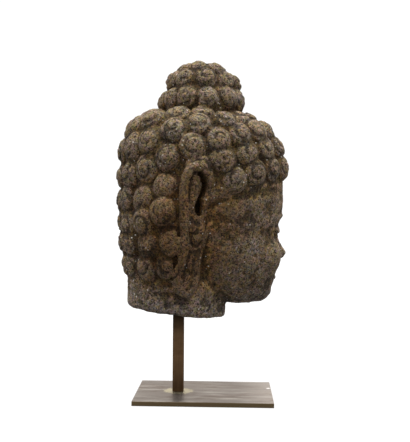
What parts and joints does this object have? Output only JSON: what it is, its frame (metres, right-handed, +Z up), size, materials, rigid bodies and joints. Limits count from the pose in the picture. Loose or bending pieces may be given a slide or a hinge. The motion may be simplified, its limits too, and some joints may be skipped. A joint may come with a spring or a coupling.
{
  "type": "carved stone Buddha head on a display stand",
  "caption": "Carved volcanic-stone Buddha head with snail-curl hair and long ears, held by a square metal post on a rectangular metal plate.",
  "frame": {"origin": "centre of the base plate's underside", "axes": "+Z up along the post, +X along the plate's long side towards the side the head looks to, -Y the side of the figure's right ear"},
  "size_m": [0.1905, 0.1738, 0.369],
  "materials": {
    "volcanic_stone": "rough porous grey-brown lava stone with ochre dust in the crevices",
    "bronzed_steel": "dark bronze-brown patina, satin",
    "brushed_plate": "brushed, waxed, with cloudy brown stains and darker edges"
  },
  "bodies": {
    "root": {"head": "volcanic_stone", "post": "bronzed_steel", "base_plate": "brushed_plate"}
  },
  "joints": []
}
